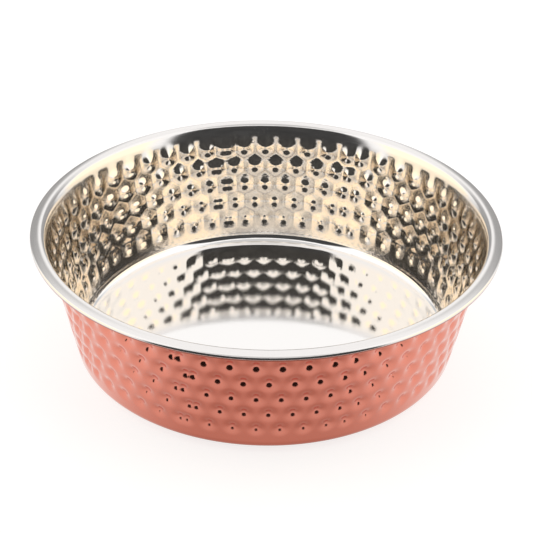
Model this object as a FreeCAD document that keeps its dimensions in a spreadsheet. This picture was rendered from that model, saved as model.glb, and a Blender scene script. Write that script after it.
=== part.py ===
"""Hammered feeding bowl.

One steel sheet is pressed into a pan, its edge is rolled into a flattened bead and its wall is struck
with five rows of round dimples.  The outside below the bead carries a thin copper-coloured metal finish,
and a rubber ring is bonded under the base.

Millimetres, +Z up.  The origin is the centre of the plane the bowl rests on.
"""
import os

import FreeCAD
import Part
import Sketcher

PARTS_FOLDER = "parts"

# Every size of the bowl: alias, value or formula, what it is.
SIZES = [
    # driving sizes
    ("rim_radius", "105", "outer radius of the rolled rim"),
    ("steel_height", "60", "underside of the steel base to the top of the rim"),
    ("sheet_thickness", "0.8", "steel sheet"),
    ("finish_thickness", "0.2", "copper-coloured finish, drawn thicker than real plating"),
    ("wall_lean", "12", "lean of the wall from upright, degrees"),
    ("flare_lean", "32", "lean of the wall where it meets the lip, degrees"),
    ("base_radius", "85.8", "where the lines of the wall and the base would meet"),
    ("base_corner_radius", "5.5", "outside rounding between wall and base"),
    ("flare_radius", "15", "inside rounding from the straight wall out to the flare, all above the dimples"),
    ("lip_radius", "3", "inside rounding from the flare over to the crest of the rim"),
    ("crown_radius", "12", "rounding of the rim top from the crest outwards"),
    ("curl_radius", "1.1", "rounding of the outer edge of the rim"),
    ("curl_tuck", "2.6", "flat strip tucked back under the rim"),
    ("rim_hand_over", "3.4", "rim top down to the level where the dimpled wall hands over to the rim"),
    ("dimple_count", "56", "dimples in one row"),
    ("dimple_mouth", "9.2", "diameter of one dimple at the wall surface"),
    ("dimple_depth", "0.9", "depth of one dimple"),
    ("cap_share", "0.97", "width of the ball cap that cuts a dimple, as a share of the spacing in its row"),
    ("first_row_drop", "11.3", "rim top to the middle of the highest row of dimples"),
    ("row_step", "9", "height between rows"),
    ("ring_radius", "76", "middle radius of the rubber ring"),
    ("ring_width", "9", "width of the rubber ring"),
    ("ring_thickness", "1.8", "thickness of the rubber ring"),
    ("ring_edge_radius", "0.6", "rounding of the lower edges of the rubber ring"),
    # heights above the resting plane
    ("steel_base", "=ring_thickness + finish_thickness", "underside of the steel"),
    ("rim_top", "=steel_base + steel_height", "top of the rim"),
    ("wall_top", "=rim_top - rim_hand_over", "where the dimpled wall hands over to the rim"),
    # the straight wall
    ("wall_slope", "=tan(wall_lean * 1 deg)", "outward run of the wall for each step up"),
    # the lip and the flare, two arcs that touch where the wall leans by flare_lean
    ("lip_centre_z", "=rim_top - lip_radius", "centre of the lip rounding"),
    ("flare_centre_z", "=lip_centre_z - (flare_radius - lip_radius) * sin(flare_lean * 1 deg)",
     "centre of the flare rounding"),
    ("flare_centre_r", "=base_radius + (flare_centre_z - steel_base) * wall_slope"
     " + (flare_radius - sheet_thickness) / cos(wall_lean * 1 deg)", "centre of the flare rounding"),
    ("crest_radius", "=flare_centre_r - (flare_radius - lip_radius) * cos(flare_lean * 1 deg)",
     "highest circle of the rim"),
    # the crown and the curl
    ("crown_angle", "=asin((rim_radius - curl_radius - crest_radius) / (crown_radius - curl_radius)) / 1 deg",
     "degrees the crown arc turns before the curl takes over"),
    ("curl_centre_r", "=rim_radius - curl_radius", "centre of the curl"),
    ("curl_centre_z", "=rim_top - crown_radius + (crown_radius - curl_radius) * cos(crown_angle * 1 deg)",
     "centre of the curl"),
    # the dimples
    ("dimple_ball", "=(dimple_mouth ^ 2 / 4 + dimple_depth ^ 2) / (2 * dimple_depth)",
     "radius of the striking ball"),
    ("ball_stand_off", "=dimple_ball - dimple_depth", "ball centre to the wall surface, square to the wall"),
]

# Hexagonal packing: odd rows are turned by half the spacing of the dimples.
ROWS = 5

doc = FreeCAD.newDocument("hammered_bowl")


def make_sheet():
    """Spreadsheet holding every size under its own name."""
    sheet = doc.addObject("Spreadsheet::Sheet", "sheet")
    for row, (alias, value, meaning) in enumerate(SIZES, start=1):
        sheet.set(f"A{row}", meaning)
        sheet.set(f"B{row}", value)
        sheet.setAlias(f"B{row}", alias)
    doc.recompute()
    return sheet


sheet = make_sheet()


def origin_element(body, role):
    """Origin plane or axis of a body, found by its role."""
    return next(element for element in body.Origin.OriginFeatures if element.Role == role)


class Outline:
    """Closed outline in the r-z half plane of a body, every corner tied to the sizes of the sheet."""

    def __init__(self, body, name):
        self.sketch = body.newObject("Sketcher::SketchObject", name)
        self.sketch.AttachmentSupport = [(origin_element(body, "XZ_Plane"), "")]
        self.sketch.MapMode = "FlatFace"
        self.first = None
        self.here = None
        self.opening = None
        self.edges = []

    def value(self, expression):
        """Number an expression has with the present sizes."""
        return float(self.sketch.evalExpression(expression))

    def bind(self, constraint, expression):
        """Add a constraint and tie it to an expression."""
        index = self.sketch.addConstraint(constraint)
        self.sketch.setExpression(f"Constraints[{index}]", expression)

    def start(self, r, z):
        """First corner, given as two expressions."""
        self.first = (r, z)
        self.here = (r, z)

    def point(self, corner):
        """Vector of a corner given as two expressions."""
        return FreeCAD.Vector(self.value(corner[0]), self.value(corner[1]), 0)

    def pin(self, edge, end, corner):
        """Tie one end of an edge to its corner."""
        for kind, expression in zip(("DistanceX", "DistanceY"), corner):
            if self.value(expression) == 0:
                axis = -2 if kind == "DistanceX" else -1
                self.sketch.addConstraint(Sketcher.Constraint("PointOnObject", edge, end, axis))
            else:
                self.bind(Sketcher.Constraint(kind, edge, end, self.value(expression)), expression)

    def line(self, r, z):
        """Straight edge to the next corner."""
        segment = Part.LineSegment(self.point(self.here), self.point((r, z)))
        self.add(segment, 1, 2, (r, z))

    def arc(self, r, z, centre_r, centre_z, radius):
        """Round edge to the next corner about a centre."""
        centre = self.point((centre_r, centre_z))
        start, end = self.point(self.here) - centre, self.point((r, z)) - centre
        turns_left = start.cross(end).z > 0
        circle = Part.Circle(centre, FreeCAD.Vector(0, 0, 1), self.value(radius))
        if turns_left:
            sides, begin, finish = (start, end), 1, 2
        else:
            sides, begin, finish = (end, start), 2, 1
        first, last = (circle.parameter(centre + side) for side in sides)
        edge = self.add(Part.ArcOfCircle(circle, first, last), begin, finish, (r, z))
        self.bind(Sketcher.Constraint("Radius", edge, self.value(radius)), radius)

    def add(self, curve, begin, finish, corner):
        """Put an edge in the sketch, join it to the one before and pin its far end."""
        edge = self.sketch.addGeometry(curve, False)
        if self.edges:
            last_edge, last_end = self.edges[-1]
            self.sketch.addConstraint(Sketcher.Constraint("Coincident", last_edge, last_end, edge, begin))
        else:
            self.opening = (edge, begin)
        self.edges.append((edge, finish))
        if corner == self.first:
            self.sketch.addConstraint(Sketcher.Constraint("Coincident", edge, finish, *self.opening))
        self.pin(edge, finish, corner)
        self.here = corner
        return edge


def revolve(body, outline):
    """Turn an outline a full circle about the upright axis."""
    revolution = body.newObject("PartDesign::Revolution", outline.sketch.Name + "_turned")
    revolution.Profile = outline.sketch
    revolution.ReferenceAxis = (outline.sketch, ["V_Axis"])
    revolution.Angle = 360
    outline.sketch.Visibility = False
    doc.recompute()
    return revolution


def add_dimples(body, inset):
    """Strike the rows of dimples: one cap of a ball, repeated around the axis, for each row."""
    lean = "sheet.wall_lean * 1 deg"
    ball = f"(sheet.dimple_ball + {inset})"
    for row in range(ROWS):
        height = f"(sheet.rim_top - sheet.first_row_drop - {row} * sheet.row_step)"
        wall = f"(sheet.base_radius + ({height} - sheet.steel_base) * sheet.wall_slope)"
        # the cap is wider than the dimple but stays clear of its neighbours
        half_width = f"(sheet.cap_share * pi * {wall} / sheet.dimple_count)"
        cap = body.newObject("PartDesign::SubtractiveSphere", f"{body.Name}_cap_{row + 1}")
        cap.setExpression("Radius", f"{ball} * 1 mm")
        cap.setExpression("Angle1", f"90 deg - asin({half_width} / {ball})")
        cap.Angle2 = 90
        # the pole of the ball points at the bowl's axis and leans up square to the wall
        reach = f"({wall} + sheet.ball_stand_off * cos({lean})) * 1 mm"
        level = f"({height} - sheet.ball_stand_off * sin({lean})) * 1 mm"
        half_space_turn = f"{row % 2} * 180 deg / sheet.dimple_count"
        cap.setExpression("Placement", (
            f"placement(vector(0 mm; 0 mm; 0 mm); rotation(vector(0; 0; 1); {half_space_turn}))"
            f" * placement(vector(0 mm; -({reach}); {level}); rotation(vector(1; 0; 0); -90 deg + {lean}))"))
        ring = body.newObject("PartDesign::PolarPattern", f"{body.Name}_row_{row + 1}")
        ring.Originals = [cap]
        ring.Axis = (origin_element(body, "Z_Axis"), [""])
        ring.Angle = 360
        ring.setExpression("Occurrences", "sheet.dimple_count")
        body.Tip = ring
    doc.recompute()


def pan_form(name, inset):
    """Solid block inside the dimpled wall and the base, moved inwards from the steel's outside by inset."""
    body = doc.addObject("PartDesign::Body", name)
    outline = Outline(body, name + "_outline")
    floor = f"sheet.steel_base + {inset}"
    lean = "sheet.wall_lean * 1 deg"
    flare_centre = ("sheet.flare_centre_r", "sheet.flare_centre_z")
    bend = f"(sheet.flare_radius - sheet.sheet_thickness + {inset})"
    outline.start("0", floor)
    outline.line(f"sheet.base_radius + {inset} * sheet.wall_slope - {inset} / cos({lean})", floor)
    outline.line(*on_flare(bend, lean))
    outline.arc(flare_at_wall_top(bend), "sheet.wall_top", *flare_centre, bend)
    outline.line("0", "sheet.wall_top")
    outline.line("0", floor)
    turned = revolve(body, outline)
    corner = body.newObject("PartDesign::Fillet", name + "_corner")
    corner.Base = (turned, [round_edges(turned.Shape)[0][0]])
    corner.setExpression("Radius", f"(sheet.base_corner_radius - {inset}) * 1 mm")
    doc.recompute()
    add_dimples(body, inset)
    return body


def on_flare(bend, lean):
    """Corner on the flare rounding, or at its end, where the wall has a given lean."""
    return (f"sheet.flare_centre_r - {bend} * cos({lean})", f"sheet.flare_centre_z + {bend} * sin({lean})")


def flare_at_wall_top(bend):
    """Radius at which a flare rounding passes the level of wall_top."""
    return f"sheet.flare_centre_r - sqrt({bend} ^ 2 - (sheet.wall_top - sheet.flare_centre_z) ^ 2)"


def round_edges(shape):
    """Name and height of every level round edge, lowest first."""
    rounds = [(f"Edge{index}", edge.CenterOfMass.z) for index, edge in enumerate(shape.Edges, start=1)
              if isinstance(edge.Curve, Part.Circle)]
    return sorted(rounds, key=lambda found: found[1])


def rolled_rim():
    """Sheet from the top of the wall over the crest, out to the curl and tucked back underneath."""
    body = doc.addObject("PartDesign::Body", "rolled_rim")
    outline = Outline(body, "rim_outline")
    gauge = "sheet.sheet_thickness"
    crown = "sheet.crown_angle * 1 deg"
    flare = "sheet.flare_lean * 1 deg"
    flare_centre = ("sheet.flare_centre_r", "sheet.flare_centre_z")
    lip_centre = ("sheet.crest_radius", "sheet.lip_centre_z")
    crown_centre = ("sheet.crest_radius", "sheet.rim_top - sheet.crown_radius")
    curl_centre = ("sheet.curl_centre_r", "sheet.curl_centre_z")
    inner_flare, outer_flare = "sheet.flare_radius", f"(sheet.flare_radius - {gauge})"
    inner_lip, outer_lip = "sheet.lip_radius", f"(sheet.lip_radius - {gauge})"
    upper_crown, lower_crown = "sheet.crown_radius", f"(sheet.crown_radius - {gauge})"
    outer_curl, inner_curl = "sheet.curl_radius", f"(sheet.curl_radius - {gauge})"

    def from_crown(radius):
        return (f"sheet.crest_radius + {radius} * sin({crown})",
                f"sheet.rim_top - sheet.crown_radius + {radius} * cos({crown})")

    tuck_end = "sheet.curl_centre_r - sheet.curl_tuck"
    outline.start(flare_at_wall_top(inner_flare), "sheet.wall_top")
    outline.arc(*on_flare(inner_flare, flare), *flare_centre, inner_flare)
    outline.arc("sheet.crest_radius", "sheet.rim_top", *lip_centre, inner_lip)
    outline.arc(*from_crown(upper_crown), *crown_centre, upper_crown)
    outline.arc("sheet.curl_centre_r", f"sheet.curl_centre_z - {outer_curl}", *curl_centre, outer_curl)
    outline.line(tuck_end, f"sheet.curl_centre_z - {outer_curl}")
    outline.line(tuck_end, f"sheet.curl_centre_z - {inner_curl}")
    outline.line("sheet.curl_centre_r", f"sheet.curl_centre_z - {inner_curl}")
    outline.arc(*from_crown(lower_crown), *curl_centre, inner_curl)
    outline.arc("sheet.crest_radius", f"sheet.rim_top - {gauge}", *crown_centre, lower_crown)
    outline.arc(*on_flare(outer_flare, flare), *lip_centre, outer_lip)
    outline.arc(flare_at_wall_top(outer_flare), "sheet.wall_top", *flare_centre, outer_flare)
    outline.line(flare_at_wall_top(inner_flare), "sheet.wall_top")
    revolve(body, outline)
    return body


def base_ring():
    """Flat rubber ring the bowl stands on, its two lower edges rounded."""
    body = doc.addObject("PartDesign::Body", "base_ring")
    outline = Outline(body, "ring_outline")
    inner, outer = ("sheet.ring_radius - sheet.ring_width / 2", "sheet.ring_radius + sheet.ring_width / 2")
    outline.start(inner, "0")
    outline.line(outer, "0")
    outline.line(outer, "sheet.ring_thickness")
    outline.line(inner, "sheet.ring_thickness")
    outline.line(inner, "0")
    turned = revolve(body, outline)
    rounding = body.newObject("PartDesign::Fillet", "ring_edges")
    rounding.Base = (turned, [name for name, height in round_edges(turned.Shape)[:2]])
    rounding.setExpression("Radius", "sheet.ring_edge_radius * 1 mm")
    doc.recompute()
    return body


def boolean(kind, label, base, tools):
    """Cut or fuse of whole bodies, under the name of the finished part."""
    result = doc.addObject(kind, label)
    if kind == "Part::Cut":
        result.Base, result.Tool = base, tools[0]
    else:
        result.Shapes = [base, *tools]
    result.Label = label
    doc.recompute()
    return result


def export(parts):
    """Write every finished part as one STEP file after checking it."""
    faulty = [item.Label for item in doc.Objects if {"Invalid", "Error"} & set(item.State)]
    if faulty:
        raise RuntimeError(f"features that failed: {faulty}")
    os.makedirs(PARTS_FOLDER, exist_ok=True)
    for part in parts:
        shape = part.Shape
        if shape.isNull() or not shape.isValid() or len(shape.Solids) != 1:
            raise RuntimeError(f"{part.Label} is not one sound solid")
        shape.exportStep(os.path.join(PARTS_FOLDER, part.Label + ".step"))
        print(part.Label, round(shape.Volume), "mm3", shape.BoundBox)


steel_outside = pan_form("steel_outside", "0")
steel_inside = pan_form("steel_inside", "sheet.sheet_thickness")
finish_outside = pan_form("finish_outside", "-sheet.finish_thickness")
pan = boolean("Part::Cut", "pan", steel_outside, [steel_inside])
export([
    boolean("Part::MultiFuse", "bowl_shell", pan, [rolled_rim()]),
    boolean("Part::Cut", "copper_skin", finish_outside, [steel_outside]),
    base_ring(),
])
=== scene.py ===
"""Looks of the hammered feeding bowl: mirror steel pan, copper-coloured outside, rubber ring, studio.

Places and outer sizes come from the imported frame, the others from the named sizes below.  The mesh code
works in millimetres and scales once, when a mesh is made; the studio is laid out in metres.
"""
import collections
import dataclasses
import math

import bmesh
import bpy
import mathutils
import numpy as np
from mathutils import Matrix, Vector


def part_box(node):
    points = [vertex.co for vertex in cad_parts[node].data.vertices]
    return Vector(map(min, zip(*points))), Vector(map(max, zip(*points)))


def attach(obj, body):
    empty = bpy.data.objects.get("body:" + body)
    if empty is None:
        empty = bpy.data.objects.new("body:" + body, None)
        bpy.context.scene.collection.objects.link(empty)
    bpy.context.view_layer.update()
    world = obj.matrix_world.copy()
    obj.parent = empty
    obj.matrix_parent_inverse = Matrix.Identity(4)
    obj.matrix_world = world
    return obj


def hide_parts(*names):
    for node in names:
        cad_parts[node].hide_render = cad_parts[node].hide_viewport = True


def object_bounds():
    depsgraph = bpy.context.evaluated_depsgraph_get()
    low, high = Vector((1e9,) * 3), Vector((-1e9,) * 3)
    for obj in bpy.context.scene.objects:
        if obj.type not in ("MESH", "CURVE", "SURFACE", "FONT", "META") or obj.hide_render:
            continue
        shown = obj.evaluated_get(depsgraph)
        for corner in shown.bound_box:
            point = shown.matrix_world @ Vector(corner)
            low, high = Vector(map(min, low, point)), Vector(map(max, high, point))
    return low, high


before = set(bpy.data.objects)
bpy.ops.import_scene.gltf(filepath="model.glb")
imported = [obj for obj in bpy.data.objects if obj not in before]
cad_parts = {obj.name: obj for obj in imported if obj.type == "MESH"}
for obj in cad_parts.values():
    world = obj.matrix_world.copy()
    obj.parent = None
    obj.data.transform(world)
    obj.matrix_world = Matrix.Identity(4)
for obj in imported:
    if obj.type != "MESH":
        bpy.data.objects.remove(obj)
cad_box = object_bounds()

MM = 0.001


def span_mm(node):
    """Lowest and highest corner of a CAD node, in millimetres."""
    low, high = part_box(node)
    return [value / MM for value in low], [value / MM for value in high]


# ---------------------------------------------------------------- sizes of the object, millimetres
shell_low, shell_high = span_mm("bowl_shell")
skin_low, skin_high = span_mm("copper_skin")
ring_low, ring_high = span_mm("base_ring")

RIM_RADIUS = (shell_high[0] - shell_low[0]) / 2
RIM_TOP = shell_high[2]
STEEL_BASE = shell_low[2]
SKIN = STEEL_BASE - skin_low[2]
SKIN_TOP = skin_high[2]
SKIN_RIM_RADIUS = (skin_high[0] - skin_low[0]) / 2

SHEET = 0.8
LEAN = math.radians(12)
FLARE_LEAN = math.radians(32)
# roundings of the sheet from the base up; the corner's radius is outside, the others on the visible face
CORNER_RADIUS = 5.5
FLARE_RADIUS = 15.0
LIP_RADIUS = 3.0
CROWN_RADIUS = 12.0
CURL_RADIUS = 1.1
# how far the sheet runs back inwards under the rim
CURL_TUCK = 2.6
RING_WIDTH = 9.0
RING_EDGE_RADIUS = 0.6
RING_GROOVE_RADIUS = 0.5

SLOPE = math.tan(LEAN)
LIP_CENTRE_Z = RIM_TOP - LIP_RADIUS
FLARE_CENTRE_Z = LIP_CENTRE_Z - (FLARE_RADIUS - LIP_RADIUS) * math.sin(FLARE_LEAN)
# the skin's widest circle is where its own flare rounding passes its top
SKIN_BEND = FLARE_RADIUS - SHEET - SKIN
FLARE_CENTRE_R = SKIN_RIM_RADIUS + math.sqrt(SKIN_BEND ** 2 - (SKIN_TOP - FLARE_CENTRE_Z) ** 2)
BASE_RADIUS = (FLARE_CENTRE_R - (FLARE_RADIUS - SHEET) / math.cos(LEAN)
               - (FLARE_CENTRE_Z - STEEL_BASE) * SLOPE)
CREST_RADIUS = FLARE_CENTRE_R - (FLARE_RADIUS - LIP_RADIUS) * math.cos(FLARE_LEAN)
CROWN_TURN = math.asin((RIM_RADIUS - CURL_RADIUS - CREST_RADIUS) / (CROWN_RADIUS - CURL_RADIUS))
CURL_CENTRE = (RIM_RADIUS - CURL_RADIUS,
               RIM_TOP - CROWN_RADIUS + (CROWN_RADIUS - CURL_RADIUS) * math.cos(CROWN_TURN))

# ---------------------------------------------------------------- fineness of the meshes
COLUMNS = 784
WALL_RINGS = 64
BASE_COLUMNS = COLUMNS // 16
RING_COLUMNS = COLUMNS // 4
CORNER_STEPS = 10
LIP_STEPS = 7
CROWN_STEPS = 4
CURL_STEPS = 9
# the last flat ring of the base lies this far inside the corner rounding
BASE_EDGE = 1.0
# the covered sides of steel and finish are coarser meshes, so they stand back from the visible face
COVERED_COLUMNS = COLUMNS // 2
COVERED_WALL_RINGS = WALL_RINGS // 2
COVERED_CORNER_STEPS = 4
COVERED_LIP_STEPS = 4
COVERED_CROWN_STEPS = 2
COVERED_CURL_STEPS = 3
FINISH_BACK = 0.08
STEEL_BACK = 0.10

# ---------------------------------------------------------------- the hammering
ROWS = 5
FIRST_ROW_DROP = 11.3
ROW_SPACING = 9.0
DIMPLE_SPACING = math.radians(6.41)
DIMPLES_PER_BITE = 7
# A die of seven columns is walked round the wall; its bites start at these angles (degrees from the front)
# and run into each other, so some dimples are struck double.
BITE_STARTS = (-61.5, -21.1, 22.7, 67.3, 112.4, 155.1, 192.0, 224.8, 261.6)
# keeps the exponentials of the smooth maximum within range
EXPONENT_RANGE = (-40, 60)
# keeps the division by a distance safe at the middle of a dimple
TINY = 1e-6


@dataclasses.dataclass
class Strike:
    """Shape of the dimples on one side of the sheet; each tuple has one value for each row, top row first.

    A dimple is a cone with a rounded tip, given by its depth, the slope of its sides and the roundness of
    its tip, with a pit in the middle that may be wider above than below.  The first row may run out higher
    up, where the wall flares, and blend is how softly neighbours run together.
    """

    depth: tuple
    slope: float
    tip: float
    pit_depth: tuple
    pit_above: tuple
    pit_below: tuple
    first_row_rise: float
    blend: float

    def profile(self, sideways, upwards, row):
        """Depth at places sideways and upwards of the middle of one dimple."""
        if row == 0:
            upwards = np.where(upwards > 0, upwards / self.first_row_rise, upwards)
        distance = np.hypot(sideways, upwards)
        cone = self.depth[row] - self.slope * (np.sqrt(distance ** 2 + self.tip ** 2) - self.tip)
        above = 0.5 + 0.5 * upwards / np.maximum(distance, TINY)
        reach = self.pit_below[row] + (self.pit_above[row] - self.pit_below[row]) * above
        return cone + self.pit_depth[row] * np.exp(-(distance / reach) ** 2)


OUTSIDE = Strike(
    depth=(1.00, 0.98, 0.95, 0.90, 0.84),
    slope=0.22,
    tip=0.5,
    pit_depth=(0.72, 0.66, 0.60, 0.58, 0.50),
    pit_above=(1.9, 1.8, 1.7, 1.6, 1.5),
    pit_below=(1.9, 1.8, 1.7, 1.6, 1.5),
    first_row_rise=1.0,
    blend=0.03,
)
INSIDE = Strike(
    depth=(0.44, 0.54, 0.52, 0.50, 0.48),
    slope=0.21,
    tip=6.0,
    pit_depth=(0.92, 0.80, 0.64, 0.52, 0.44),
    pit_above=(2.6, 1.75, 1.25, 0.85, 0.5),
    pit_below=(2.3, 2.3, 2.3, 2.1, 1.9),
    first_row_rise=1.28,
    blend=0.03,
)

# one place on the way up a wall: radius, height, distance climbed along the wall, and lean there
Place = collections.namedtuple("Place", "radius height climb lean")


def dimple_centres():
    """Row, height and angle of every dimple; every second row is turned by half a space."""
    for row in range(ROWS):
        drop = FIRST_ROW_DROP + ROW_SPACING * row
        for start in BITE_STARTS:
            for column in range(DIMPLES_PER_BITE):
                angle = math.radians(start) + (column + 0.5 * (row % 2)) * DIMPLE_SPACING
                yield row, RIM_TOP - drop, angle


def hammering(path, angles, strike):
    """Depth of the hammered surface at every place of a wall path and every angle.

    It is the deepest of all dimples, as a smooth maximum: the logarithm of a sum of exponentials.
    """
    radius = np.array([[place.radius] for place in path])
    climb = np.array([[place.climb] for place in path])
    total = np.ones((len(path), len(angles)))
    for row, centre, turn in dimple_centres():
        sideways = radius * ((angles - turn + math.pi) % (2 * math.pi) - math.pi)
        sunk = strike.profile(sideways, climb - centre / math.cos(LEAN), row)
        total += np.exp(np.clip(sunk / strike.blend, *EXPONENT_RANGE))
    return strike.blend * np.log(total)


# ---------------------------------------------------------------- rings and skins
class Ring:
    """One ring of a round mesh: radii and heights at evenly spaced angles, or a single pole point."""

    def __init__(self, radius, height, count):
        self.count = count
        self.angles = 2 * math.pi * np.arange(count) / count
        self.radius = np.broadcast_to(radius, count).astype(float)
        self.height = np.broadcast_to(height, count).astype(float)

    def points(self):
        """Positions round the ring, from the front."""
        across = self.radius * np.sin(self.angles)
        return np.column_stack([across, -self.radius * np.cos(self.angles), self.height])


def line_points(start, end, steps):
    """Points after start, up to and including end."""
    return [(start[0] + (end[0] - start[0]) * i / steps, start[1] + (end[1] - start[1]) * i / steps)
            for i in range(1, steps + 1)]


def arc_points(centre, radius, first, last, steps):
    """Points after the first angle, up to and including the last; angles from +r, in radians."""
    turns = [first + (last - first) * i / steps for i in range(1, steps + 1)]
    return [(centre[0] + radius * math.cos(turn), centre[1] + radius * math.sin(turn)) for turn in turns]


def rings_of(points, count):
    """A ring through each (radius, height) point."""
    return [Ring(radius, height, count) for radius, height in points]


def wall_radius(height, inset):
    """Radius of the leaning wall's surface, moved inwards from the steel's outside by inset."""
    return BASE_RADIUS + (height - STEEL_BASE) * SLOPE - inset / math.cos(LEAN)


def corner(inset):
    """Centre and radius of the rounding between base and wall, and the level of the base."""
    radius = CORNER_RADIUS - inset
    floor = STEEL_BASE + inset
    centre_z = floor + radius
    centre_r = wall_radius(centre_z, inset) - radius / math.cos(LEAN)
    return (centre_r, centre_z), radius, floor


def on_flare(bend, turn):
    """Radius and height at an angle of a flare rounding of radius bend."""
    return FLARE_CENTRE_R + bend * math.cos(turn), FLARE_CENTRE_Z + bend * math.sin(turn)


def lean_at(bend, level):
    """Lean of the flare rounding where it passes a level."""
    return math.asin((level - FLARE_CENTRE_Z) / bend)


def wall_path(inset, end_lean, steps):
    """Evenly spaced places up the straight wall and on over the flare."""
    bend = FLARE_RADIUS - SHEET + inset
    centre, radius = corner(inset)[:2]
    low = centre[1] - radius * math.sin(LEAN)
    high = FLARE_CENTRE_Z + bend * math.sin(LEAN)
    straight, curved = (high - low) / math.cos(LEAN), bend * (end_lean - LEAN)
    path = []
    for step in range(1, steps + 1):
        along = (straight + curved) * step / steps
        if along < straight:
            height = low + along * math.cos(LEAN)
            path.append(Place(wall_radius(height, inset), height, height / math.cos(LEAN), LEAN))
        else:
            lean = LEAN + (along - straight) / bend
            path.append(Place(*on_flare(bend, math.pi - lean), low / math.cos(LEAN) + along, lean))
    return path


def hammered_wall(inset, strike, end_lean, steps, count):
    """Rings of the hammered wall, from the corner rounding up to the place where the flare has end_lean."""
    path = wall_path(inset, end_lean, steps)
    depth = hammering(path, 2 * math.pi * np.arange(count) / count, strike)
    rings = []
    for place, sunk in zip(path, depth):
        radius = place.radius - sunk * math.cos(place.lean)
        height = place.height + sunk * math.sin(place.lean)
        rings.append(Ring(radius, height, count))
    return rings


def flat_base(edge, floor, reaches):
    """Middle of a flat base and rings at shares of its edge radius, each twice as fine as the one before."""
    rings = [Ring(0, floor, 1)]
    for doublings, reach in enumerate(reaches):
        rings.append(Ring(edge * reach, floor, BASE_COLUMNS * 2 ** doublings))
    return rings


def base_and_corner(inset, reaches):
    """Visible side of a sheet's base, from the middle out and round the corner up to the wall."""
    centre, radius, floor = corner(inset)
    rings = flat_base(centre[0], floor, reaches)
    rings += rings_of([(centre[0] - BASE_EDGE, floor), (centre[0], floor)], COLUMNS)
    rings += rings_of(arc_points(centre, radius, -math.pi / 2, -LEAN, CORNER_STEPS), COLUMNS)
    return rings


def covered_side(inset, end_lean):
    """Covered side of a sheet, down the back of the hammered wall and across the base to the middle."""
    centre, radius, floor = corner(inset)
    wall = hammered_wall(inset, OUTSIDE, end_lean, COVERED_WALL_RINGS, COVERED_COLUMNS)
    rings = list(reversed(wall))
    rings += rings_of(arc_points(centre, radius, -LEAN, -math.pi / 2, COVERED_CORNER_STEPS), COVERED_COLUMNS)
    rings += reversed(flat_base(centre[0], floor, reaches=(0.2, 0.5, 0.9)))
    return rings


def between(count_a, start_a, count_b, start_b):
    """Faces between two rings whose counts are equal, or 1 (a pole), or one twice the other."""
    if count_a == 1:
        return [(start_a, start_b + i, start_b + (i + 1) % count_b) for i in range(count_b)]
    if count_b == 1:
        return [(start_b, start_a + (i + 1) % count_a, start_a + i) for i in range(count_a)]
    if count_a == count_b:
        return [(start_a + i, start_b + i, start_b + (i + 1) % count_b, start_a + (i + 1) % count_a)
                for i in range(count_a)]
    if count_a == 2 * count_b:
        faces = []
        for i in range(count_b):
            left, middle, right = (start_a + (2 * i + step) % count_a for step in (0, 1, 2))
            under, after = start_b + i, start_b + (i + 1) % count_b
            faces += [(left, under, middle), (middle, under, after), (middle, after, right)]
        return faces
    return [tuple(reversed(face)) for face in between(count_b, start_b, count_a, start_a)]


def skin_mesh(name, rings, loop=False):
    """Closed round mesh through a list of rings, from pole to pole, or back to the first ring in a loop."""
    vertices, faces, starts = [], [], []
    total = 0
    for ring in rings:
        starts.append(total)
        vertices.append(ring.points())
        total += ring.count
    for index in range(len(rings) - 1):
        faces += between(rings[index].count, starts[index], rings[index + 1].count, starts[index + 1])
    if loop:
        faces += between(rings[-1].count, starts[-1], rings[0].count, 0)
    mesh = bpy.data.meshes.new(name)
    mesh.from_pydata((np.vstack(vertices) * MM).tolist(), [], faces)
    shape = bmesh.new()
    shape.from_mesh(mesh)
    bmesh.ops.recalc_face_normals(shape, faces=shape.faces)
    shape.to_mesh(mesh)
    shape.free()
    mesh.polygons.foreach_set("use_smooth", [True] * len(mesh.polygons))
    mesh.update()
    piece = bpy.data.objects.new(name, mesh)
    bpy.context.scene.collection.objects.link(piece)
    return piece


# ---------------------------------------------------------------- the three pieces
def bowl_shell():
    """The pressed steel pan with its rolled rim, one closed sheet."""
    lip = (CREST_RADIUS, LIP_CENTRE_Z)
    lip_start = math.pi - FLARE_LEAN
    crown = (CREST_RADIUS, RIM_TOP - CROWN_RADIUS)
    crown_end = math.pi / 2 - CROWN_TURN
    rings = base_and_corner(SHEET, reaches=(0.04, 0.12, 0.35, 0.7))
    rings += hammered_wall(SHEET, INSIDE, FLARE_LEAN, WALL_RINGS, COLUMNS)
    rings += rings_of(arc_points(lip, LIP_RADIUS, lip_start, math.pi / 2, LIP_STEPS), COLUMNS)
    rings += rings_of(arc_points(crown, CROWN_RADIUS, math.pi / 2, crown_end, CROWN_STEPS), COLUMNS)
    rings += rings_of(arc_points(CURL_CENTRE, CURL_RADIUS, crown_end, -math.pi / 2, CURL_STEPS), COLUMNS)
    # underneath the rim: in under the curl, round the sheet's edge and back out
    tuck = CURL_CENTRE[0] - CURL_TUCK
    under = CURL_CENTRE[1] - CURL_RADIUS
    rings += rings_of([(tuck, under)], COLUMNS)
    # the covered side of the same roundings, one sheet's thickness away
    inner_curl, inner_crown, inner_lip = CURL_RADIUS - SHEET, CROWN_RADIUS - SHEET, LIP_RADIUS - SHEET
    points = [(tuck, under + SHEET), (CURL_CENTRE[0], CURL_CENTRE[1] - inner_curl)]
    points += arc_points(CURL_CENTRE, inner_curl, -math.pi / 2, crown_end, COVERED_CURL_STEPS)
    points += arc_points(crown, inner_crown, crown_end, math.pi / 2, COVERED_CROWN_STEPS)
    points += arc_points(lip, inner_lip, math.pi / 2, lip_start, COVERED_LIP_STEPS)
    rings += rings_of(points, COVERED_COLUMNS)
    rings += covered_side(STEEL_BACK, FLARE_LEAN)
    return skin_mesh("bowl_shell_look", rings)


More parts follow.
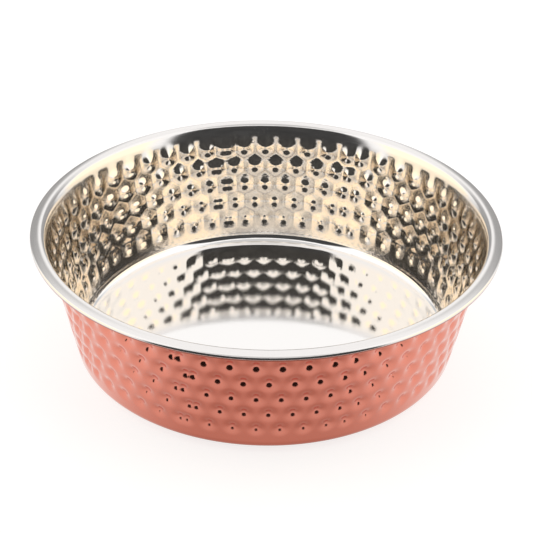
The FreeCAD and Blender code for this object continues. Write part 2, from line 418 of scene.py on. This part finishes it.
def copper_skin():
    """The copper-coloured finish: a thin closed layer over the wall and the base."""
    rings = base_and_corner(-SKIN, reaches=(0.05, 0.2, 0.5, 0.8))
    rings += hammered_wall(-SKIN, OUTSIDE, lean_at(SKIN_BEND, SKIN_TOP), WALL_RINGS, COLUMNS)
    rings += covered_side(FINISH_BACK, lean_at(SKIN_BEND + SKIN + FINISH_BACK, SKIN_TOP))
    return skin_mesh("copper_skin_look", rings)


def base_ring():
    """Rubber ring under the base, rounded at its lower edges, with a shallow groove round its foot."""
    outer = (ring_high[0] - ring_low[0]) / 2
    inner = outer - RING_WIDTH
    middle = (outer + inner) / 2
    bottom, top = ring_low[2], ring_high[2]
    edge, groove = RING_EDGE_RADIUS, RING_GROOVE_RADIUS
    points = [(inner, top), (inner, bottom + edge)]
    points += arc_points((inner + edge, bottom + edge), edge, math.pi, 1.5 * math.pi, steps=4)
    points += line_points(points[-1], (middle - groove, bottom), steps=2)
    points += arc_points((middle, bottom), groove, math.pi, 0, steps=6)
    points += line_points(points[-1], (outer - edge, bottom), steps=2)
    points += arc_points((outer - edge, bottom + edge), edge, -math.pi / 2, 0, steps=4)
    points += [(outer, top)]
    return skin_mesh("base_ring_look", rings_of(points, RING_COLUMNS), loop=True)


# ---------------------------------------------------------------- materials
class Nodes:
    """Short way to write a shader: each call adds nodes and returns the last one or its output."""

    def __init__(self, tree):
        self.tree = tree
        tree.nodes.clear()

    def add(self, kind, inputs=None, **settings):
        """One node with its settings; an input is a value or another node's output."""
        node = self.tree.nodes.new(kind)
        for name, value in settings.items():
            setattr(node, name, value)
        for name, value in (inputs or {}).items():
            if isinstance(value, bpy.types.NodeSocket):
                self.tree.links.new(value, node.inputs[name])
            else:
                node.inputs[name].default_value = value
        return node

    def maths(self, operation, first, second=0.0, third=0.0):
        return self.add("ShaderNodeMath", {0: first, 1: second, 2: third}, operation=operation).outputs[0]

    def times(self, first, second):
        return self.maths("MULTIPLY", first, second)

    def dimmed(self, light, place, share):
        """Light that loses a share where place is 1, and nothing where it is 0."""
        return self.times(light, self.maths("SUBTRACT", 1.0, self.times(place, share)))

    def dot(self, first, second):
        """Sum of the products of two pairs."""
        return self.maths("ADD", self.times(first[0], second[0]), self.times(first[1], second[1]))

    def rise(self, value, low, high):
        """0 below low, 1 above high, smooth in between."""
        node = self.add("ShaderNodeMapRange", {"Value": value, "From Min": low, "From Max": high},
                        interpolation_type="SMOOTHSTEP")
        return node.outputs["Result"]

    def fall(self, value, low, high):
        """1 below low, 0 above high, smooth in between."""
        return self.maths("SUBTRACT", 1.0, self.rise(value, low, high))

    def band(self, value, first, last):
        """1 between two soft edges, 0 outside them."""
        return self.maths("SUBTRACT", self.rise(value, *first), self.rise(value, *last))

    def noise(self, vector, scale, detail=3.0, roughness=0.5):
        node = self.add("ShaderNodeTexNoise", {"Vector": vector, "Scale": scale, "Detail": detail,
                                               "Roughness": roughness})
        return node.outputs["Fac"]

    def mix(self, amount, first, second):
        """The first colour where amount is 0, the second where it is 1."""
        node = self.add("ShaderNodeMix", {"Factor": amount, "A": first, "B": second}, data_type="RGBA")
        return node.outputs["Result"]

    def bump(self, height, strength, distance, **under):
        """Normal raised by a height pattern, on top of another normal where one is given."""
        inputs = {"Height": height, "Strength": strength, "Distance": distance, **under}
        return self.add("ShaderNodeBump", inputs).outputs["Normal"]

    def surface(self, inputs):
        """Principled surface as the material's result."""
        shader = self.add("ShaderNodeBsdfPrincipled", inputs)
        self.add("ShaderNodeOutputMaterial", {"Surface": shader.outputs[0]})


# colours are linear red, green, blue and alpha
STEEL_FLOOR = (0.83, 0.815, 0.805, 1)
STEEL_STRUCK = (0.89, 0.83, 0.755, 1)
STEEL_RIM = (0.76, 0.74, 0.73, 1)
# painted shade under the rim's curl, in copper colour as a painted reflection of the copper wall below it
STEEL_UNDER_CURL_PAINTED_SHADE = (0.42, 0.15, 0.105, 1)
COPPER_TONES = ((0.72, 0.225, 0.155, 1), (0.75, 0.255, 0.18, 1))
RUBBER = (0.018, 0.018, 0.019, 1)
RUBBER_DUST = (0.05, 0.048, 0.046, 1)
PAPER_TONES = ((0.35, 0.347, 0.344, 1), (0.38, 0.377, 0.374, 1))
PAPER_LIGHT = (1, 0.995, 0.99, 1)
PAPER_UNDER_BOWL = (0.63, 0.48, 0.43, 1)
PAPER_SHADE = (0.02, 0.019, 0.018, 1)
ROOM_WHITE = (1, 0.993, 0.985, 1)
ROOM_GOLD = (1, 0.86, 0.66, 1)
BACKDROP_WHITE = (1, 1, 1, 1)

# heights and radii where one look of the steel changes into the next, metres
STRUCK_FROM = ((STEEL_BASE + 3) * MM, (STEEL_BASE + 9) * MM)
RIM_FROM = ((SKIN_TOP - 6) * MM, SKIN_TOP * MM)
# where the painted shade under the rim's curl starts: outwards of the crest and below the curl's middle
PAINTED_SHADE_OUT_FROM = ((CREST_RADIUS + 1) * MM, (CREST_RADIUS + 1.2) * MM)
PAINTED_SHADE_BELOW = ((CURL_CENTRE[1] - 0.05) * MM, (CURL_CENTRE[1] + 0.1) * MM)
# turns the angle round the bowl into a length so short that noise is drawn out into lines round the wall
LINE_LENGTH = 0.012


def new_material(name):
    """Empty material and the writer for its nodes."""
    material = bpy.data.materials.new(name)
    material.use_nodes = True
    return material, Nodes(material.node_tree)


def polished_steel():
    """Mirror steel with polishing lines, smears and puckers; warmer on the struck wall, hazier on the rim;
    painted shade under the rim's curl, coloured as a painted reflection of the copper wall.
    """
    material, nodes = new_material("polished_steel")
    place = nodes.add("ShaderNodeTexCoord").outputs["Object"]
    x, y, height = nodes.add("ShaderNodeSeparateXYZ", {0: place}).outputs
    radius = nodes.maths("SQRT", nodes.dot((x, y), (x, y)))
    round_the_bowl = nodes.times(nodes.maths("ARCTAN2", x, y), LINE_LENGTH)
    drawn_out = nodes.add("ShaderNodeCombineXYZ", {"X": round_the_bowl, "Y": radius, "Z": height}).outputs[0]
    lines = nodes.noise(drawn_out, scale=1600.0, detail=4.0, roughness=0.6)
    smears = nodes.noise(place, scale=24.0)
    puckers = nodes.noise(place, scale=650.0, roughness=0.6)
    struck = nodes.rise(height, *STRUCK_FROM)
    rim = nodes.rise(height, *RIM_FROM)
    # painted shade under the rim's curl, tinted as a painted reflection of the copper wall
    painted_shade_under_curl = nodes.times(nodes.rise(radius, *PAINTED_SHADE_OUT_FROM), nodes.fall(height, *PAINTED_SHADE_BELOW))
    colour = nodes.mix(struck, STEEL_FLOOR, STEEL_STRUCK)
    colour = nodes.mix(rim, colour, STEEL_RIM)
    colour = nodes.mix(painted_shade_under_curl, colour, STEEL_UNDER_CURL_PAINTED_SHADE)
    haze = nodes.maths("MULTIPLY_ADD", smears, 0.03, 0.035)
    rim_haze = nodes.times(rim, nodes.maths("MULTIPLY_ADD", lines, 0.12, 0.02))
    # metal stretched over the die puckers slightly; the plain band and the floor stay smooth
    stretched = nodes.times(struck, nodes.maths("SUBTRACT", 1.0, rim))
    puckered = nodes.bump(puckers, strength=nodes.times(stretched, 0.15), distance=0.0002)
    nodes.surface({
        "Base Color": colour,
        "Metallic": 1.0,
        "Roughness": nodes.maths("ADD", haze, rim_haze),
        "Normal": nodes.bump(lines, strength=0.04, distance=0.0002, Normal=puckered),
    })
    return material


def copper_finish():
    """Copper-coloured metal flake under a clear gloss: slightly uneven in colour and sheen."""
    material, nodes = new_material("copper_finish")
    place = nodes.add("ShaderNodeTexCoord").outputs["Object"]
    patches = nodes.noise(place, scale=30.0)
    flakes = nodes.noise(place, scale=3500.0, detail=2.0)
    nodes.surface({
        "Base Color": nodes.mix(patches, *COPPER_TONES),
        "Metallic": 1.0,
        "Roughness": nodes.maths("MULTIPLY_ADD", patches, 0.04, 0.09),
        "Coat Weight": 0.45,
        "Coat Roughness": 0.04,
        "Normal": nodes.bump(flakes, strength=0.05, distance=0.0001),
    })
    return material


def ring_rubber():
    """Matt black rubber with a fine moulded grain and a little dust."""
    material, nodes = new_material("ring_rubber")
    place = nodes.add("ShaderNodeTexCoord").outputs["Object"]
    grain = nodes.noise(place, scale=900.0)
    dust = nodes.rise(nodes.noise(place, scale=60.0, detail=4.0), 0.45, 0.75)
    nodes.surface({
        "Base Color": nodes.mix(dust, RUBBER, RUBBER_DUST),
        "Roughness": nodes.maths("MULTIPLY_ADD", grain, 0.2, 0.6),
        "Normal": nodes.bump(grain, strength=0.35, distance=0.0002),
    })
    return material


# ---------------------------------------------------------------- studio
def soft_edge(start, end):
    """Where a soft edge starts and ends, given in degrees."""
    return math.radians(start), math.radians(end)


# soft edges of the room's parts: azimuths count both ways from the front; the tops and the start of the
# zenith are elevations
OPENING_SIDE = soft_edge(50, 58)
OPENING_TOP = soft_edge(60, 64)
SIDES_START, SIDES_END = soft_edge(62, 70), soft_edge(120, 128)
SIDES_TOP = soft_edge(35, 42)
WINGS_START, WINGS_END = soft_edge(132, 140), soft_edge(165, 173)
WINGS_TOP = soft_edge(27, 48)
REAR_START = soft_edge(120, 135)
REAR_TOP = soft_edge(60, 75)
HORIZON_TOP = soft_edge(4, 16)
ZENITH_START = soft_edge(68, 78)
# light of the room, and the share that each part loses or gains; the streaks lift the opening a little
ROOM_STRENGTH = 1.30
OPENING_LOSS = 0.98
STREAK_GAIN = 0.06
SIDES_GAIN = 0.25
WINGS_LOSS = 0.6
REAR_STRENGTH_LOSS = 0.12
HORIZON_LOSS = 0.2
ZENITH_LOSS = 0.45

# the paper as the bowl's mirror faces see it: azimuths that count as aside, dips below which a ray finds it
# dark, and how far outwards a ray runs before its colour is that of plain paper
ASIDE = soft_edge(12, 62)
FLAT_RAY = soft_edge(23, 27)
OUTWARD_RAY = (0.15, 0.97)
MIRRORED_STRENGTH = 0.88
ASIDE_GAIN = 0.24
ASIDE_COLOUR_LOSS = 0.72
# the paper's own light, which keeps it pale to the camera
PAPER_GLOW = 0.8

FLOOR_RADIUS = 3.0
FLOOR_GAP = 0.0002
CAMERA_DISTANCE = 0.6929
CAMERA_ELEVATION = math.radians(30)
CAMERA_ROLL = math.radians(0.99)
CAMERA_LENS = 104.7
CAMERA_SENSOR = 36
CAMERA_SHIFT = -0.0789
CAMERA_NEAR, CAMERA_FAR = 0.01, 50
RIM_LEVEL = (RIM_TOP - CURL_RADIUS) * MM


def mirrored_paper(nodes, spot, back):
    """The paper as a mirror face of the bowl sees it, where spot is on the paper and back is to the bowl.

    Close under the bowl it lies in the bowl's shadow and glow, so a steep ray finds it deeper in colour than
    a ray that runs outwards.  It is brighter and less coloured at the sides.
    """
    x, y = spot["X"], spot["Y"]
    reach = nodes.maths("SQRT", nodes.dot((x, y), (x, y)))
    inwards = nodes.maths("DIVIDE", nodes.dot((x, y), (back["X"], back["Y"])), reach)
    outwards = nodes.times(inwards, -1.0)
    azimuth = nodes.maths("ABSOLUTE", nodes.maths("ARCTAN2", x, nodes.times(y, -1.0)))
    aside = nodes.rise(azimuth, *ASIDE)
    steep = nodes.times(nodes.fall(outwards, *OUTWARD_RAY),
                        nodes.maths("MULTIPLY_ADD", aside, -ASIDE_COLOUR_LOSS, 1.0))
    strength = nodes.maths("MULTIPLY_ADD", aside, ASIDE_GAIN, MIRRORED_STRENGTH)
    glow = nodes.mix(steep, PAPER_LIGHT, PAPER_UNDER_BOWL)
    return nodes.add("ShaderNodeEmission", {"Color": glow, "Strength": strength}).outputs[0]


def floor_paper():
    """White studio paper with a faint tooth; to flat reflections its front is as dark as the opening."""
    material, nodes = new_material("floor_paper")
    place = nodes.add("ShaderNodeTexCoord").outputs["Object"]
    tooth = nodes.noise(place, scale=700.0, detail=2.0)
    paper = nodes.add("ShaderNodeBsdfPrincipled", {
        "Base Color": nodes.mix(tooth, *PAPER_TONES),
        "Roughness": 0.9,
        "Specular IOR Level": 0.0,
        "Emission Color": PAPER_LIGHT,
        "Emission Strength": PAPER_GLOW,
    }).outputs[0]
    glossy = nodes.add("ShaderNodeLightPath").outputs["Is Glossy Ray"]
    geometry = nodes.add("ShaderNodeNewGeometry").outputs
    spot = nodes.add("ShaderNodeSeparateXYZ", {0: geometry["Position"]}).outputs
    # the direction back to where the ray came from; a ray from the bowl to the front has it pointing back
    back = nodes.add("ShaderNodeSeparateXYZ", {0: geometry["Incoming"]}).outputs
    mirrored = mirrored_paper(nodes, spot, back)
    seen = nodes.add("ShaderNodeMixShader", {0: glossy, 1: paper, 2: mirrored}).outputs[0]
    shade = nodes.add("ShaderNodeEmission", {"Color": PAPER_SHADE, "Strength": 1.0}).outputs[0]
    flat = nodes.fall(back["Z"], *(math.sin(dip) for dip in FLAT_RAY))
    azimuth = nodes.maths("ABSOLUTE", nodes.maths("ARCTAN2", back["X"], back["Y"]))
    shaded = nodes.times(nodes.times(flat, nodes.fall(azimuth, *OPENING_SIDE)), glossy)
    result = nodes.add("ShaderNodeMixShader", {0: shaded, 1: seen, 2: shade}).outputs[0]
    nodes.add("ShaderNodeOutputMaterial", {"Surface": result})
    return material


def studio_floor():
    """Large round sheet of paper under the bowl."""
    mesh = bpy.data.meshes.new("floor_sheet")
    shape = bmesh.new()
    bmesh.ops.create_circle(shape, cap_ends=True, segments=96, radius=FLOOR_RADIUS)
    shape.to_mesh(mesh)
    shape.free()
    sheet = bpy.data.objects.new("floor_sheet", mesh)
    sheet.location.z = cad_box[0][2] - FLOOR_GAP
    sheet.data.materials.append(floor_paper())
    bpy.context.scene.collection.objects.link(sheet)


def studio_world():
    """White room for the bowl to mirror, with a plain white backdrop for the camera itself.

    The room has a dark opening on the camera's side, warm low sides, grey wings towards the rear, and is
    dimmer at the horizon and overhead.
    """
    world = bpy.data.worlds.new("studio")
    bpy.context.scene.world = world
    world.use_nodes = True
    nodes = Nodes(world.node_tree)
    direction = nodes.add("ShaderNodeTexCoord").outputs["Generated"]
    x, y, z = nodes.add("ShaderNodeSeparateXYZ", {0: direction}).outputs
    azimuth = nodes.maths("ABSOLUTE", nodes.maths("ARCTAN2", x, nodes.times(y, -1.0)))
    elevation = nodes.maths("ARCSINE", z)

    opening = nodes.times(nodes.fall(azimuth, *OPENING_SIDE), nodes.fall(elevation, *OPENING_TOP))
    sides = nodes.times(nodes.band(azimuth, SIDES_START, SIDES_END), nodes.fall(elevation, *SIDES_TOP))
    wings = nodes.times(nodes.band(azimuth, WINGS_START, WINGS_END), nodes.fall(elevation, *WINGS_TOP))
    rear = nodes.times(nodes.rise(azimuth, *REAR_START), nodes.fall(elevation, *REAR_TOP))
    streaks = nodes.noise(direction, scale=6.0)
    opening_loss = nodes.maths("MULTIPLY_ADD", streaks, -STREAK_GAIN, OPENING_LOSS)

    light = nodes.maths("MULTIPLY_ADD", rear, -REAR_STRENGTH_LOSS, ROOM_STRENGTH)
    light = nodes.dimmed(light, nodes.fall(elevation, *HORIZON_TOP), HORIZON_LOSS)
    light = nodes.times(light, nodes.maths("MULTIPLY_ADD", sides, SIDES_GAIN, 1.0))
    light = nodes.dimmed(light, wings, WINGS_LOSS)
    light = nodes.dimmed(light, nodes.rise(elevation, *ZENITH_START), ZENITH_LOSS)
    light = nodes.dimmed(light, opening, opening_loss)
    colour = nodes.mix(sides, ROOM_WHITE, ROOM_GOLD)
    room = nodes.add("ShaderNodeBackground", {"Color": colour, "Strength": light}).outputs[0]
    backdrop = nodes.add("ShaderNodeBackground", {"Color": BACKDROP_WHITE, "Strength": 1.0}).outputs[0]
    from_camera = nodes.add("ShaderNodeLightPath").outputs["Is Camera Ray"]
    result = nodes.add("ShaderNodeMixShader", {0: from_camera, 1: room, 2: backdrop}).outputs[0]
    nodes.add("ShaderNodeOutputWorld", {"Surface": result})


def studio_camera():
    """Long lens from the front, thirty degrees above the rim."""
    data = bpy.data.cameras.new("camera")
    data.lens = CAMERA_LENS
    data.sensor_width = CAMERA_SENSOR
    data.shift_y = CAMERA_SHIFT
    data.clip_start, data.clip_end = CAMERA_NEAR, CAMERA_FAR
    camera = bpy.data.objects.new("camera", data)
    reach, lift = math.cos(CAMERA_ELEVATION), math.sin(CAMERA_ELEVATION)
    camera.location = (0, -CAMERA_DISTANCE * reach, RIM_LEVEL + CAMERA_DISTANCE * lift)
    tilt = mathutils.Euler((math.pi / 2 - CAMERA_ELEVATION, 0, 0)).to_quaternion()
    roll = mathutils.Quaternion((0, 0, 1), CAMERA_ROLL)
    camera.rotation_mode = "QUATERNION"
    camera.rotation_quaternion = tilt @ roll
    bpy.context.scene.collection.objects.link(camera)
    bpy.context.scene.camera = camera


# ---------------------------------------------------------------- put together
PIECES = (
    (bowl_shell, polished_steel, "bowl_shell", "steel"),
    (copper_skin, copper_finish, "copper_skin", "copper_finish"),
    (base_ring, ring_rubber, "base_ring", "ring_rubber"),
)
for shape_of, material_of, node, material_slot in PIECES:
    piece = shape_of()
    piece.data.materials.append(material_of())
    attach(piece, "root")
    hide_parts(node)

studio_floor()
studio_world()
studio_camera()
bpy.context.scene.view_settings.view_transform = "Standard"
